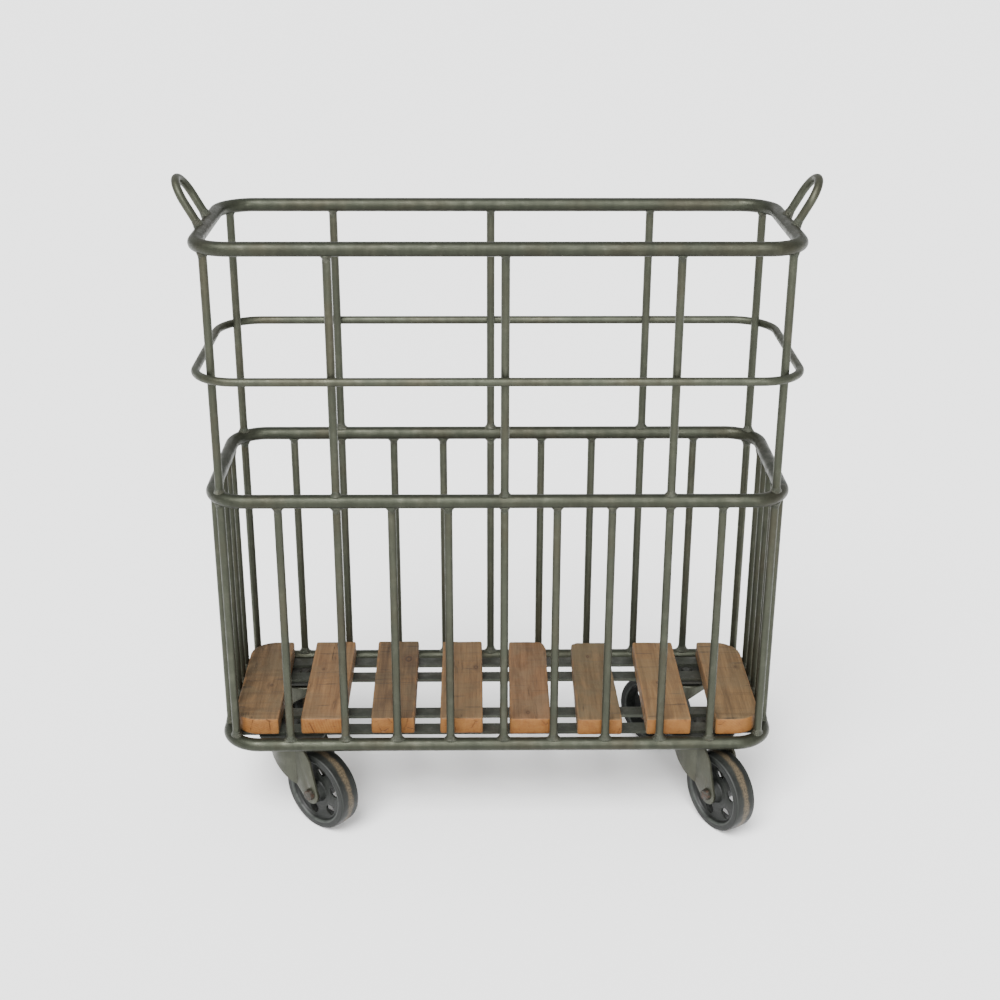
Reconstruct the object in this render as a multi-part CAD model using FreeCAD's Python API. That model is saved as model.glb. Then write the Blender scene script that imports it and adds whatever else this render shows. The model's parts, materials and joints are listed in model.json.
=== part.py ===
"""Firewood log rack: a welded round-bar basket with a slatted wooden floor on four swivel casters.

Millimetres. +Z is up, +X runs along the rack, the front is at -Y. The origin is on the ground under
the middle of the rack.
"""
import FreeCAD
import Part
import math
import os

# ---- basket -------------------------------------------------------------------------------------
rim_len = 820.0          # along X, between the centrelines of a rim's two ends
rim_dep = 280.0          # along Y, between the centrelines of a rim's front and back
rim_corner_r = 50.0      # bend radius of a rim's centreline
rim_d = 20.0             # round bar of the three rims
rod_d = 12.0             # round bar of the posts, uprights, hoop and handles
lower_bay_h = 398.0      # bottom rim to middle rim, centre to centre
upper_bay_h = 362.0      # middle rim to top rim, centre to centre

# ---- uprights -----------------------------------------------------------------------------------
long_bar_count = 11      # along the front, and along the back, the corner ones included
end_bar_count = 5        # across each end, between the corner bars
post_bars = (0, 2, 5, 8, 10)            # the long uprights that carry on up to the top rim
jig_shift = (0, 4, 8, 7, 8, 9, 5, 4, 7, 3, 0)   # how far each upright sits off an even spacing

# ---- handles ------------------------------------------------------------------------------------
handle_half_w = 32.0     # centre of the loop to the centreline of a leg
handle_leg = 44.0        # straight part of a leg, from the rim's centreline
handle_lean = 29.0       # degrees outward from upright

# ---- floor --------------------------------------------------------------------------------------
rail_w = 24.0
rail_t = 5.0
rail_lift = 3.0          # underside of the rails above the bottom rim's centreline
rail_edge_gap = 13.0     # outer rail to the inside of the bottom rim
rail_pitch = 48.0        # outer rail to inner rail, centre to centre
slat_w = 66.5
slat_t = 27.0
slat_len = 249.0
slat_pitch = 104.0       # aimed at: the real pitch divides the floor evenly
slat_end_gap = 5.0       # end slats to the end uprights
slat_corner_r = 40.0     # cut on the outer corners of the two end slats
slat_small_r = 3.0
slat_edge_r = 1.6
# each slat was sawn and laid by hand: shift along X, extra width at the front and at the back,
# how far its back end leans to +X, shift along Y
slat_hand = (
    (-1.0, 3.0, 1.0, -2.0, 0.0),
    (-3.8, -0.5, -1.5, 0.5, 1.0),
    (-3.3, -0.5, 0.5, -2.5, 2.0),
    (-3.0, -1.5, -1.5, -1.0, 1.0),
    (-1.7, -4.5, -5.5, 2.5, -2.0),
    (-2.7, 1.5, -7.5, -1.5, -5.0),
    (-2.2, 1.5, -1.5, -0.5, -5.0),
    (-0.5, 3.0, 1.0, 1.5, -5.5),
)
screw_d = 4.5
screw_head_d = 9.0
screw_head_t = 2.4
screw_len = 21.0
screw_play = 0.15        # radial, in the rail

# ---- casters ------------------------------------------------------------------------------------
wheel_d = 125.0
wheel_w = 35.0
wheel_crown = 0.9        # how much the tread falls from its middle to its edge
tread_edge_r = 2.0
lip_in_r = 50.0          # inside of the raised rim
web_r_gap = 3.0
web_recess = 7.0         # from the wheel's outer face in to the web
web_t = 4.5
web_holes = 6
web_hole_d = 16.5
web_hole_pcd = 73.0
hub_d = 31.0
hub_root_d = 37.0
bush_d = 16.0
axle_d = 10.0
axle_play = 0.05         # radial, bush on axle
bush_end_play = 0.5      # bush to each leg
hub_end_play = 1.0       # hub to each leg
trail = 57.0             # swivel axis to axle
head_room = 30.0         # top of the wheel to the top of the mounting plate
plate_len = 100.0
plate_dep = 80.0
plate_t = 4.0
plate_corner_r = 8.0
race_d = 64.0            # fixed ball race under the plate
race_t = 4.5
race_gap = 0.6           # fixed race to the swivelling crown
crown_d = 77.0
crown_t = 4.5
crown_edge_r = 3.5
fork_t = 4.0
fork_gap = 45.0          # between the insides of the two legs
leg_tip_r = 16.0         # round end about the axle
leg_shoulder = (44.0, 17.0)      # trailing top corner of a leg: along X, and down from the plate top
leg_back = (58.0, 36.0)          # trailing edge lower down, measured the same way
skirt_front_drop = 19.0  # plate top to the lower edge of the skirt at its leading side
skirt_back_drop = 22.0   # plate top to the lower edge of the crown over the wheel
ball_d = 6.0
ball_count = 16
ball_ring_d = 44.0
ball_play = 0.05
pin_d = 12.0
pin_play = 0.05
pin_head_d = 24.0
pin_head_t = 5.0
pin_head_gap = 0.5
pin_top_d = 18.0
pin_top_t = 3.0
nut_af = 16.0
nut_t = 8.0
axle_head_t = 6.4
axle_end = 2.0           # bolt past the nut
bolt_d = 6.0             # plate bolts
bolt_af = 10.0
bolt_head_t = 4.0
bolt_dx = 36.0           # plate bolts from the swivel axis
bolt_play = 0.25
# direction each caster trails in, degrees from +X, anticlockwise seen from above
caster_turn = {
    "front_left": -40.7,
    "front_right": -58.1,
    "rear_left": 121.9,
    "rear_right": 139.3,
}

# ---- levels and places that follow --------------------------------------------------------------
half_len = rim_len / 2
half_dep = rim_dep / 2
rim_r = rim_d / 2
rod_r = rod_d / 2
plate_top = wheel_d + head_room
rail_top = plate_top + rail_t
slat_top = rail_top + slat_t
bottom_z = plate_top - rail_lift
middle_z = bottom_z + lower_bay_h
top_z = middle_z + upper_bay_h
hoop_z = (middle_z + top_z) / 2
corner_in = rim_corner_r * (1 - math.cos(math.radians(45)))
corner_x = half_len - corner_in          # corner posts stand on the middle of each bend
corner_y = half_dep - corner_in
outer_rail_y = half_dep - rim_r - rail_edge_gap - rail_w / 2
inner_rail_y = outer_rail_y - rail_pitch
rails = {
    "front_outer": -outer_rail_y,
    "front_inner": -inner_rail_y,
    "back_inner": inner_rail_y,
    "back_outer": outer_rail_y,
}
slat_edge = half_len - rod_r - slat_end_gap
slat_reach = slat_edge - slat_w / 2
slat_gaps = max(2, round(2 * slat_reach / slat_pitch))
slat_step = 2 * slat_reach / slat_gaps
pivot_x = slat_reach - slat_step / 2     # a caster hangs under the first gap between slats
pivot_y = (outer_rail_y + inner_rail_y) / 2


def vec(x, y, z):
    return FreeCAD.Vector(x, y, z)


UP = vec(0, 0, 1)
ORIGIN = vec(0, 0, 0)


def joined(shapes):
    """One solid out of touching pieces."""
    whole = shapes[0].multiFuse(shapes[1:]).removeSplitter()
    return whole.Solids[0]


def group(shapes):
    """Identical separate pieces that share a node."""
    return Part.makeCompound([s.Solids[0] for s in shapes])


def bar(x, y, z0, z1, d):
    return Part.makeCylinder(d / 2, z1 - z0, vec(x, y, z0), UP)


def bend(cx, cy, z, r, d, start, sweep=90):
    """Part of a bent round bar about an upright axis."""
    ring = Part.Wire(Part.makeCircle(d / 2, vec(r, 0, 0), vec(0, 1, 0)))
    piece = Part.Face(ring).revolve(ORIGIN, UP, sweep)
    piece.rotate(ORIGIN, UP, start)
    piece.translate(vec(cx, cy, z))
    return piece


def loop(hx, hy, r, z, d):
    """A closed rounded-rectangle ring of round bar."""
    sx = hx - r
    sy = hy - r
    along = vec(1, 0, 0)
    across = vec(0, 1, 0)
    pieces = [
        Part.makeCylinder(d / 2, 2 * sx, vec(-sx, -hy, z), along),
        bend(sx, -sy, z, r, d, -90),
        Part.makeCylinder(d / 2, 2 * sy, vec(hx, -sy, z), across),
        bend(sx, sy, z, r, d, 0),
        Part.makeCylinder(d / 2, 2 * sx, vec(-sx, hy, z), along),
        bend(-sx, sy, z, r, d, 90),
        Part.makeCylinder(d / 2, 2 * sy, vec(-hx, -sy, z), across),
        bend(-sx, -sy, z, r, d, 180),
    ]
    return joined(pieces)


def rounded_outline(points, radii, z):
    """Wire round a polygon, each corner rounded to its own radius."""
    edges = []
    n = len(points)
    ends = []
    for i in range(n):
        p = vec(points[i][0], points[i][1], z)
        a = vec(points[i - 1][0], points[i - 1][1], z) - p
        b = vec(points[(i + 1) % n][0], points[(i + 1) % n][1], z) - p
        a.normalize()
        b.normalize()
        half = a.getAngle(b) / 2
        reach = radii[i] / math.tan(half)
        middle = a + b
        middle.normalize()
        centre = p + middle * (radii[i] / math.sin(half))
        ends.append((p + a * reach, centre - middle * radii[i], p + b * reach))
    for i in range(n):
        first, mid, last = ends[i]
        edges.append(Part.Arc(first, mid, last).toShape())
        edges.append(Part.LineSegment(last, ends[(i + 1) % n][0]).toShape())
    return Part.Wire(edges)


def prism(outline, height):
    return Part.Face(outline).extrude(vec(0, 0, height))


def plain_box(x0, x1, y0, y1, z0, z1):
    return Part.makeBox(x1 - x0, y1 - y0, z1 - z0, vec(x0, y0, z0))


def turned(profile, axis_point, axis):
    """Solid of revolution from a closed list of points."""
    wire = Part.makePolygon(profile + [profile[0]])
    return Part.Face(wire).revolve(axis_point, axis, 360).Solids[0]


def hexagon(af, height, base, direction):
    """Hexagonal prism across flats af, standing on base."""
    r = af / 2 / math.cos(math.radians(30))
    points = []
    for i in range(6):
        angle = math.radians(60 * i)
        points.append(vec(r * math.cos(angle), r * math.sin(angle), 0))
    body = Part.Face(Part.makePolygon(points + [points[0]])).extrude(vec(0, 0, height))
    body.Placement = FreeCAD.Placement(base, FreeCAD.Rotation(UP, direction))
    return body


parts = {}

# ---- rims and hoop ------------------------------------------------------------------------------
bottom_rim = loop(half_len, half_dep, rim_corner_r, bottom_z, rim_d)
middle_rim = loop(half_len, half_dep, rim_corner_r, middle_z, rim_d)
top_rim = loop(half_len, half_dep, rim_corner_r, top_z, rim_d)
# the thin hoop runs round the outside of the posts and touches each of them
hoop = loop(half_len + rod_d, half_dep + rod_d, rim_corner_r + rod_d, hoop_z, rod_d)
parts["bottom_rim"] = bottom_rim
parts["middle_rim"] = middle_rim
parts["top_rim"] = top_rim
parts["middle_hoop"] = hoop


# ---- uprights: their ends are coped to the rims they are welded between ---------------------------
def upright(x, y, low_rim, high_rim, low_z, high_z):
    return bar(x, y, low_z, high_z, rod_d).cut(low_rim).cut(high_rim).Solids[0]


def long_places():
    """X and Y of the front uprights; the back is the same pattern turned half a turn."""
    last = long_bar_count - 1
    step = 2 * corner_x / last
    places = []
    for i in range(long_bar_count):
        y = -corner_y if i in (0, last) else -half_dep
        places.append((-corner_x + step * i + jig_shift[i], y))
    return places


front = long_places()
back = [(-x, -y) for x, y in front]
end_step = 2 * corner_y / (end_bar_count + 1)
ends = [-corner_y + end_step * (i + 1) for i in range(end_bar_count)]

for side, places in (("front", front), ("back", back)):
    lower = [upright(x, y, bottom_rim, middle_rim, bottom_z, middle_z) for x, y in places]
    parts[side + "_bars"] = group(lower)
    inner = []
    for i in post_bars:
        x, y = places[i]
        post = upright(x, y, middle_rim, top_rim, middle_z, top_z)
        if i in (0, long_bar_count - 1):
            parts[side + ("_left" if x < 0 else "_right") + "_post"] = post
        else:
            inner.append(post)
    parts[side + "_posts"] = group(inner)

for side, x in (("left", -half_len), ("right", half_len)):
    lower = [upright(x, y, bottom_rim, middle_rim, bottom_z, middle_z) for y in ends]
    parts[side + "_bars"] = group(lower)


# ---- handles: a bent loop on each end of the top rim, leaning outward -----------------------------
def handle_loop():
    leg_a = bar(0, handle_half_w, 0, handle_leg, rod_d)
    leg_b = bar(0, -handle_half_w, 0, handle_leg, rod_d)
    start = Part.Wire(Part.makeCircle(rod_r, vec(0, handle_half_w, handle_leg), UP))
    arch = Part.Face(start).revolve(vec(0, 0, handle_leg), vec(1, 0, 0), 180)
    whole = joined([leg_a, arch, leg_b])
    whole.rotate(ORIGIN, vec(0, 1, 0), handle_lean)
    whole.translate(vec(half_len, 0, top_z))
    return whole


right_handle = handle_loop()
left_handle = right_handle.copy()
left_handle.rotate(ORIGIN, UP, 180)
parts["handle_right"] = right_handle.cut(top_rim).Solids[0]
parts["handle_left"] = left_handle.cut(top_rim).Solids[0]

# ---- floor rails, screws and slats ----------------------------------------------------------------
inside = prism(
    rounded_outline(
        [(-half_len, -half_dep), (half_len, -half_dep), (half_len, half_dep), (-half_len, half_dep)],
        [rim_corner_r] * 4,
        plate_top,
    ),
    rail_t,
)
screw_xs = [-slat_reach + slat_step * i for i in range(slat_gaps + 1)]
corners = [(sx, sy) for sx in (-1, 1) for sy in (-1, 1)]
bolt_spots = []
for sx, sy in corners:
    for dx in (-bolt_dx, bolt_dx):
        for y in (inner_rail_y, outer_rail_y):
            bolt_spots.append((sx * pivot_x + dx, sy * y))


def screw(x, y, play=0.0):
    """Countersunk wood screw pointing up, its head flush with the rail's underside."""
    head = screw_head_d / 2
    core = screw_d / 2 + play
    low = plate_top
    neck = low + screw_head_t
    tip = low + screw_len
    profile = [
        vec(x, y, low),
        vec(x + head, y, low),
        vec(x + core, y, neck),
        vec(x + core, y, tip - screw_d),
        vec(x, y, tip),
    ]
    return turned(profile, vec(x, y, 0), UP)


screws = []
for name, y in rails.items():
    rail = plain_box(-half_len, half_len, y - rail_w / 2, y + rail_w / 2, plate_top, rail_top)
    rail = rail.common(inside).cut(bottom_rim)
    holes = [screw(x, y, screw_play) for x in screw_xs]
    holes += [bar(bx, by, plate_top, rail_top, bolt_d) for bx, by in bolt_spots if abs(by - y) < rail_w / 2]
    rail = rail.cut(Part.makeCompound(holes))
    parts["rail_" + name] = rail.Solids[0]
    screws += [screw(x, y) for x in screw_xs]
parts["slat_screws"] = group(screws)

for i, x in enumerate(screw_xs):
    shift, front_extra, back_extra, lean, shift_y = slat_hand[i % len(slat_hand)]
    first = i == 0
    last = i == slat_gaps
    mid_front = x + shift - lean / 2
    mid_back = x + shift + lean / 2
    front_half = (slat_w + front_extra) / 2
    back_half = (slat_w + back_extra) / 2
    y0 = -slat_len / 2 + shift_y
    y1 = slat_len / 2 + shift_y
    outline = [
        (mid_front - front_half, y0),
        (mid_front + front_half, y0),
        (mid_back + back_half, y1),
        (mid_back - back_half, y1),
    ]
    left_r = slat_corner_r if first else slat_small_r
    right_r = slat_corner_r if last else slat_small_r
    slat = prism(rounded_outline(outline, [left_r, right_r, right_r, left_r], rail_top), slat_t)
    flat_edges = []
    for edge in slat.Edges:
        heights = [v.Z for v in edge.Vertexes]
        if max(heights) - min(heights) < 1e-6:
            flat_edges.append(edge)
    slat = slat.makeFillet(slat_edge_r, flat_edges)
    pilots = [screw(x, y) for y in rails.values()]
    parts["slat_%d" % (i + 1)] = slat.cut(Part.makeCompound(pilots)).Solids[0]

# ---- casters: built about the swivel axis, trailing to +X, then turned and placed -----------------
race_z = plate_top - plate_t - race_t
crown_top = race_z - race_gap
crown_under = crown_top - crown_t
ball_z = race_z - race_gap / 2
axle_z = wheel_d / 2
axle = vec(trail, 0, axle_z)
side = vec(0, 1, 0)
leg_in = fork_gap / 2
leg_out = leg_in + fork_t
crown_r = crown_d / 2


def ball_groove(extra):
    circle = Part.Wire(Part.makeCircle(ball_d / 2 + extra, vec(ball_ring_d / 2, 0, ball_z), side))
    return Part.Face(circle).revolve(ORIGIN, UP, 360)


def mounting_plate():
    hx = plate_len / 2
    hy = plate_dep / 2
    square = [(-hx, -hy), (hx, -hy), (hx, hy), (-hx, hy)]
    plate = prism(rounded_outline(square, [plate_corner_r] * 4, plate_top - plate_t), plate_t)
    race = Part.makeCylinder(race_d / 2, race_t, vec(0, 0, race_z), UP)
    holes = [bar(0, 0, race_z, plate_top, pin_d), ball_groove(0.0)]
    dy = rail_pitch / 2
    for dx in (-bolt_dx, bolt_dx):
        for y in (-dy, dy):
            holes.append(bar(dx, y, plate_top - plate_t, plate_top, bolt_d + 2 * bolt_play))
    return joined([plate, race]).cut(Part.makeCompound(holes)).Solids[0]


def kingpin():
    """Riveted pin: wide head under the crown, peened head on top of the plate."""
    r = pin_d / 2
    head_top = crown_under - pin_head_gap
    profile = [
        vec(0, 0, head_top - pin_head_t),
        vec(pin_head_d / 2 - 1.5, 0, head_top - pin_head_t),
        vec(pin_head_d / 2, 0, head_top - pin_head_t + 1.5),
        vec(pin_head_d / 2, 0, head_top),
        vec(r, 0, head_top),
        vec(r, 0, plate_top),
        vec(pin_top_d / 2, 0, plate_top),
        vec(pin_top_d / 2 - 2.0, 0, plate_top + pin_top_t * 0.7),
        vec(pin_top_d / 4, 0, plate_top + pin_top_t),
        vec(0, 0, plate_top + pin_top_t),
    ]
    return turned(profile, ORIGIN, UP)


def swivel_balls():
    balls = []
    for i in range(ball_count):
        angle = 2 * math.pi * i / ball_count
        x = ball_ring_d / 2 * math.cos(angle)
        y = ball_ring_d / 2 * math.sin(angle)
        balls.append(Part.makeSphere(ball_d / 2, vec(x, y, ball_z)))
    return balls


def touch_point(corner, side_sign):
    """Where a line from a corner touches the round tip of a leg, in X and Z."""
    dx = corner[0] - trail
    dz = corner[1] - axle_z
    far = math.hypot(dx, dz)
    angle = math.atan2(dz, dx) + side_sign * math.acos(leg_tip_r / far)
    return (trail + leg_tip_r * math.cos(angle), axle_z + leg_tip_r * math.sin(angle))


def fork():
    """Pressed fork: round crown, skirt that runs into two swept legs, round tips about the axle."""
    z0 = axle_z - leg_tip_r - 1
    tall = crown_under - z0
    reach = trail + leg_tip_r + 1
    outer = joined([
        Part.makeCylinder(crown_r, tall, vec(0, 0, z0), UP),
        plain_box(0, reach, -leg_out, leg_out, z0, crown_under),
    ])
    inner = joined([
        Part.makeCylinder(crown_r - fork_t, tall, vec(0, 0, z0), UP),
        plain_box(0, reach + 1, -leg_in, leg_in, z0, crown_under),
    ])
    shell = outer.cut(inner)
    lead = (-crown_r - 1, plate_top - skirt_front_drop)
    shoulder = (leg_shoulder[0], plate_top - leg_shoulder[1])
    behind = (leg_back[0], plate_top - leg_back[1])
    low_touch = touch_point(lead, 1)
    high_touch = touch_point(behind, -1)
    sides = [
        (lead[0], crown_under + 1),
        lead,
        low_touch,
        (trail, axle_z),
        high_touch,
        behind,
        shoulder,
        (crown_r, crown_under),
        (crown_r, crown_under + 1),
    ]
    wide = crown_r + 2
    points = [vec(x, -wide, z) for x, z in sides]
    face = Part.Face(Part.makePolygon(points + [points[0]]))
    profile = joined([
        face.extrude(vec(0, 2 * wide, 0)),
        Part.makeCylinder(leg_tip_r, 2 * wide, vec(trail, -wide, axle_z), side),
    ])
    legs = shell.common(profile)
    over_wheel = plain_box(0, reach, -leg_in, leg_in, z0, plate_top - skirt_back_drop)
    legs = legs.cut(over_wheel)
    crown = Part.makeCylinder(crown_r, crown_t, vec(0, 0, crown_under), UP)
    rim = [e for e in crown.Edges if e.Length > crown_r and min(v.Z for v in e.Vertexes) > crown_top - 0.01]
    crown = crown.makeFillet(crown_edge_r, rim)
    whole = joined([crown] + legs.Solids)
    holes = [
        bar(0, 0, crown_under - 1, crown_top + 1, pin_d + 2 * pin_play),
        ball_groove(ball_play),
        Part.makeCylinder(axle_d / 2, 2 * wide, vec(trail, -wide, axle_z), side),
    ]
    return whole.cut(Part.makeCompound(holes)).Solids[0]


def wheel():
    """Crowned tread, raised rim, thin web near one face with round holes, and a hub."""
    hub_half = fork_gap / 2 - hub_end_play
    r = wheel_d / 2
    half = wheel_w / 2
    face = -half
    web_a = face + web_recess
    web_b = web_a + web_t
    bore = bush_d / 2
    line = [
        (bore, -hub_half),
        (hub_d / 2, -hub_half),
        (hub_root_d / 2, web_a),
        (lip_in_r - web_r_gap, web_a),
        (lip_in_r, face + 1.0),
        (lip_in_r + 1.5, face),
        (r - wheel_crown - tread_edge_r, face),
        (r - wheel_crown, face + tread_edge_r),
    ]
    back_line = [
        (r - wheel_crown - tread_edge_r, half),
        (lip_in_r + 1.5, half),
        (lip_in_r, half - 1.0),
        (lip_in_r - web_r_gap, web_b),
        (hub_root_d / 2, web_b),
        (hub_d / 2, hub_half),
        (bore, hub_half),
        (bore, -hub_half),
    ]
    ahead = [vec(trail, y, axle_z + radius) for radius, y in line]
    after = [vec(trail, y, axle_z + radius) for radius, y in back_line]
    tread_end = vec(trail, half - tread_edge_r, axle_z + r - wheel_crown)
    edges = [Part.LineSegment(a, b).toShape() for a, b in zip(ahead, ahead[1:])]
    edges.append(Part.Arc(ahead[-1], vec(trail, 0, axle_z + r), tread_end).toShape())
    edges.append(Part.LineSegment(tread_end, after[0]).toShape())
    edges += [Part.LineSegment(a, b).toShape() for a, b in zip(after, after[1:])]
    body = Part.Face(Part.Wire(edges)).revolve(axle, side, 360).Solids[0]
    holes = []
    for i in range(web_holes):
        angle = math.radians(360 / web_holes * i + 15)
        x = trail + web_hole_pcd / 2 * math.cos(angle)
        z = axle_z + web_hole_pcd / 2 * math.sin(angle)
        holes.append(Part.makeCylinder(web_hole_d / 2, web_t, vec(x, web_a, z), side))
    return body.cut(Part.makeCompound(holes)).Solids[0]


def wheel_bush():
    half = fork_gap / 2 - bush_end_play
    outer = Part.makeCylinder(bush_d / 2, 2 * half, vec(trail, -half, axle_z), side)
    inner = Part.makeCylinder(axle_d / 2 + axle_play, 2 * half, vec(trail, -half, axle_z), side)
    return outer.cut(inner).Solids[0]


def axle_bolt():
    end = leg_out + nut_t + axle_end
    shank = Part.makeCylinder(axle_d / 2, leg_out + end, vec(trail, -leg_out, axle_z), side)
    head = hexagon(nut_af, axle_head_t, vec(trail, -leg_out, axle_z), vec(0, -1, 0))
    washer_face = Part.makeCone(nut_af / 2 + 1.6, nut_af / 2 - 0.4, axle_head_t + 2,
                                vec(trail, -leg_out + 1.6, axle_z), vec(0, -1, 0))
    return joined([shank, head.common(washer_face)])


def axle_nut():
    nut = hexagon(nut_af, nut_t, vec(trail, leg_out, axle_z), side)
    hole = Part.makeCylinder(axle_d / 2, nut_t, vec(trail, leg_out, axle_z), side)
    return nut.cut(hole).Solids[0]


local = {
    "fork": fork(),
    "wheel": wheel(),
    "wheel_bush": wheel_bush(),
    "axle_bolt": axle_bolt(),
    "axle_nut": axle_nut(),
}
fixed = {"plate": mounting_plate(), "kingpin": kingpin()}
balls = []
for name, turn in caster_turn.items():
    px = pivot_x if name.endswith("right") else -pivot_x
    py = pivot_y if name.startswith("rear") else -pivot_y
    for piece, shape in local.items():
        placed = shape.copy()
        placed.rotate(ORIGIN, UP, turn)
        placed.translate(vec(px, py, 0))
        parts[name + "_" + piece] = placed
    for piece, shape in fixed.items():
        placed = shape.copy()
        placed.translate(vec(px, py, 0))
        parts[name + "_" + piece] = placed
    for ball in swivel_balls():
        ball.translate(vec(px, py, 0))
        balls.append(ball)
parts["swivel_balls"] = group(balls)

bolts = []
for x, y in bolt_spots:
    under = plate_top - plate_t
    head = hexagon(bolt_af, bolt_head_t, vec(x, y, under), vec(0, 0, -1))
    bolts.append(joined([bar(x, y, under, rail_top, bolt_d), head]))
parts["plate_bolts"] = group(bolts)

os.makedirs("parts", exist_ok=True)
for name, shape in parts.items():
    shape.exportStep("parts/%s.step" % name)
    box = shape.BoundBox
    print("%-24s %3d solids  valid %s  volume %11.1f  z %.1f..%.1f" % (
        name, len(shape.Solids), shape.isValid(), shape.Volume, box.ZMin, box.ZMax))
print(len(parts), "nodes")
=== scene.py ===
import bpy
import json
import math
import random
from mathutils import Matrix, Quaternion, Vector


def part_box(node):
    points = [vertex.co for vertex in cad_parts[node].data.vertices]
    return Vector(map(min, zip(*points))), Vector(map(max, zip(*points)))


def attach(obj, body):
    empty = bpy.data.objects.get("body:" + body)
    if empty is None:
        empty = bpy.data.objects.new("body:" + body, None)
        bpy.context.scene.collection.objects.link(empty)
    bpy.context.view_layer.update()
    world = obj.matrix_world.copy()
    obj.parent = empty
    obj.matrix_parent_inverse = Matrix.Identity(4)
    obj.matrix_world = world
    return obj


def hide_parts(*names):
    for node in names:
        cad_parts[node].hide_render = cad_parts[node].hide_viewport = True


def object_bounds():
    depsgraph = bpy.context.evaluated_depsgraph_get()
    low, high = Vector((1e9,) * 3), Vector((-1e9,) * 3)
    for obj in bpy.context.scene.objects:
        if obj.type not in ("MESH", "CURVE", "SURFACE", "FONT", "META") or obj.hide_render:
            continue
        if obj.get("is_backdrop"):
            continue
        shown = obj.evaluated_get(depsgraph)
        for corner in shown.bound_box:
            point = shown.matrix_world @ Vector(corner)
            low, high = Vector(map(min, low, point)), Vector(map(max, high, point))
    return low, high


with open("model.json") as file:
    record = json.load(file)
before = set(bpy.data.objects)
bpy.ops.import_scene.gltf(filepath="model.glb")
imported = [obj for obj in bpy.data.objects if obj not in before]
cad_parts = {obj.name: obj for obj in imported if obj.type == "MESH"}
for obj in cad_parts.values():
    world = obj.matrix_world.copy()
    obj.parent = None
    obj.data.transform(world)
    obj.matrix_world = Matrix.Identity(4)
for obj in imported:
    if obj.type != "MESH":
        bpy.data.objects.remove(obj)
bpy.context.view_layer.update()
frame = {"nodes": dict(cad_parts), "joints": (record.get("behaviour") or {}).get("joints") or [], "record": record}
nodes = frame["nodes"]
joint_at = {j["name"]: j for j in frame["joints"]}
MM = 0.001

# ---- sizes of the rack that the new pieces follow -------------------------------------------------
rod_r = 6 * MM
half_len = 410 * MM
half_dep = 140 * MM
bend_r = 50 * MM
bottom_z = (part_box("bottom_rim")[0].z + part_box("bottom_rim")[1].z) / 2
middle_z = (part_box("middle_rim")[0].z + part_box("middle_rim")[1].z) / 2
top_z = (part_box("top_rim")[0].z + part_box("top_rim")[1].z) / 2
wheel_half = 17.5 * MM
wheel_lip_r = 50.5 * MM
board_voxel = 1.9 * MM
weld_h = 16 * MM
casters = ("front_left", "front_right", "rear_left", "rear_right")


# ---- working with objects -------------------------------------------------------------------------
def pick(*objs):
    """Only these are selected, and the first is active."""
    if bpy.context.object and bpy.context.object.mode != "OBJECT":
        bpy.ops.object.mode_set(mode="OBJECT")
    bpy.ops.object.select_all(action="DESELECT")
    for o in objs:
        o.select_set(True)
    bpy.context.view_layer.objects.active = objs[0]
    return objs[0]


def settle(obj):
    """Puts an object's place, turn and scale into its mesh."""
    pick(obj)
    bpy.ops.object.transform_apply(location=True, rotation=True, scale=True)
    return obj


def finish_with(obj, kind, **values):
    """Adds a modifier and applies it."""
    pick(obj)
    m = obj.modifiers.new(kind.title(), kind)
    for key, value in values.items():
        setattr(m, key, value)
    bpy.ops.object.modifier_apply(modifier=m.name)
    return obj


def smooth(obj, degrees):
    """Shades smooth across edges flatter than an angle."""
    pick(obj)
    bpy.ops.object.shade_smooth_by_angle(angle=math.radians(degrees))
    return obj


def gathered(objs, name):
    """Several pieces made one."""
    pick(*objs)
    bpy.ops.object.join()
    made = bpy.context.object
    made.name = name
    made.data.name = name
    return made


def copied(obj, matrix):
    """A copy with its own mesh, moved by a matrix."""
    twin = bpy.data.objects.new(obj.name + "_copy", obj.data.copy())
    bpy.context.scene.collection.objects.link(twin)
    twin.data.transform(matrix)
    return twin


def softened(node, name, width, segments=2, limit=32):
    """The CAD piece with its sharp edges rounded over."""
    source = nodes[node]
    piece = bpy.data.objects.new(name, source.data.copy())
    bpy.context.scene.collection.objects.link(piece)
    pick(piece)
    if piece.data.has_custom_normals:
        bpy.ops.mesh.customdata_custom_splitnormals_clear()
    bpy.ops.object.mode_set(mode="EDIT")
    bpy.ops.mesh.select_all(action="SELECT")
    bpy.ops.mesh.remove_doubles(threshold=0.001 * MM)
    bpy.ops.mesh.dissolve_limited(angle_limit=math.radians(0.5))
    bpy.ops.object.mode_set(mode="OBJECT")
    finish_with(piece, "BEVEL", width=width, segments=segments, limit_method="ANGLE",
                angle_limit=math.radians(limit), use_clamp_overlap=True, harden_normals=False)
    smooth(piece, 30)
    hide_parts(node)
    return piece


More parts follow.
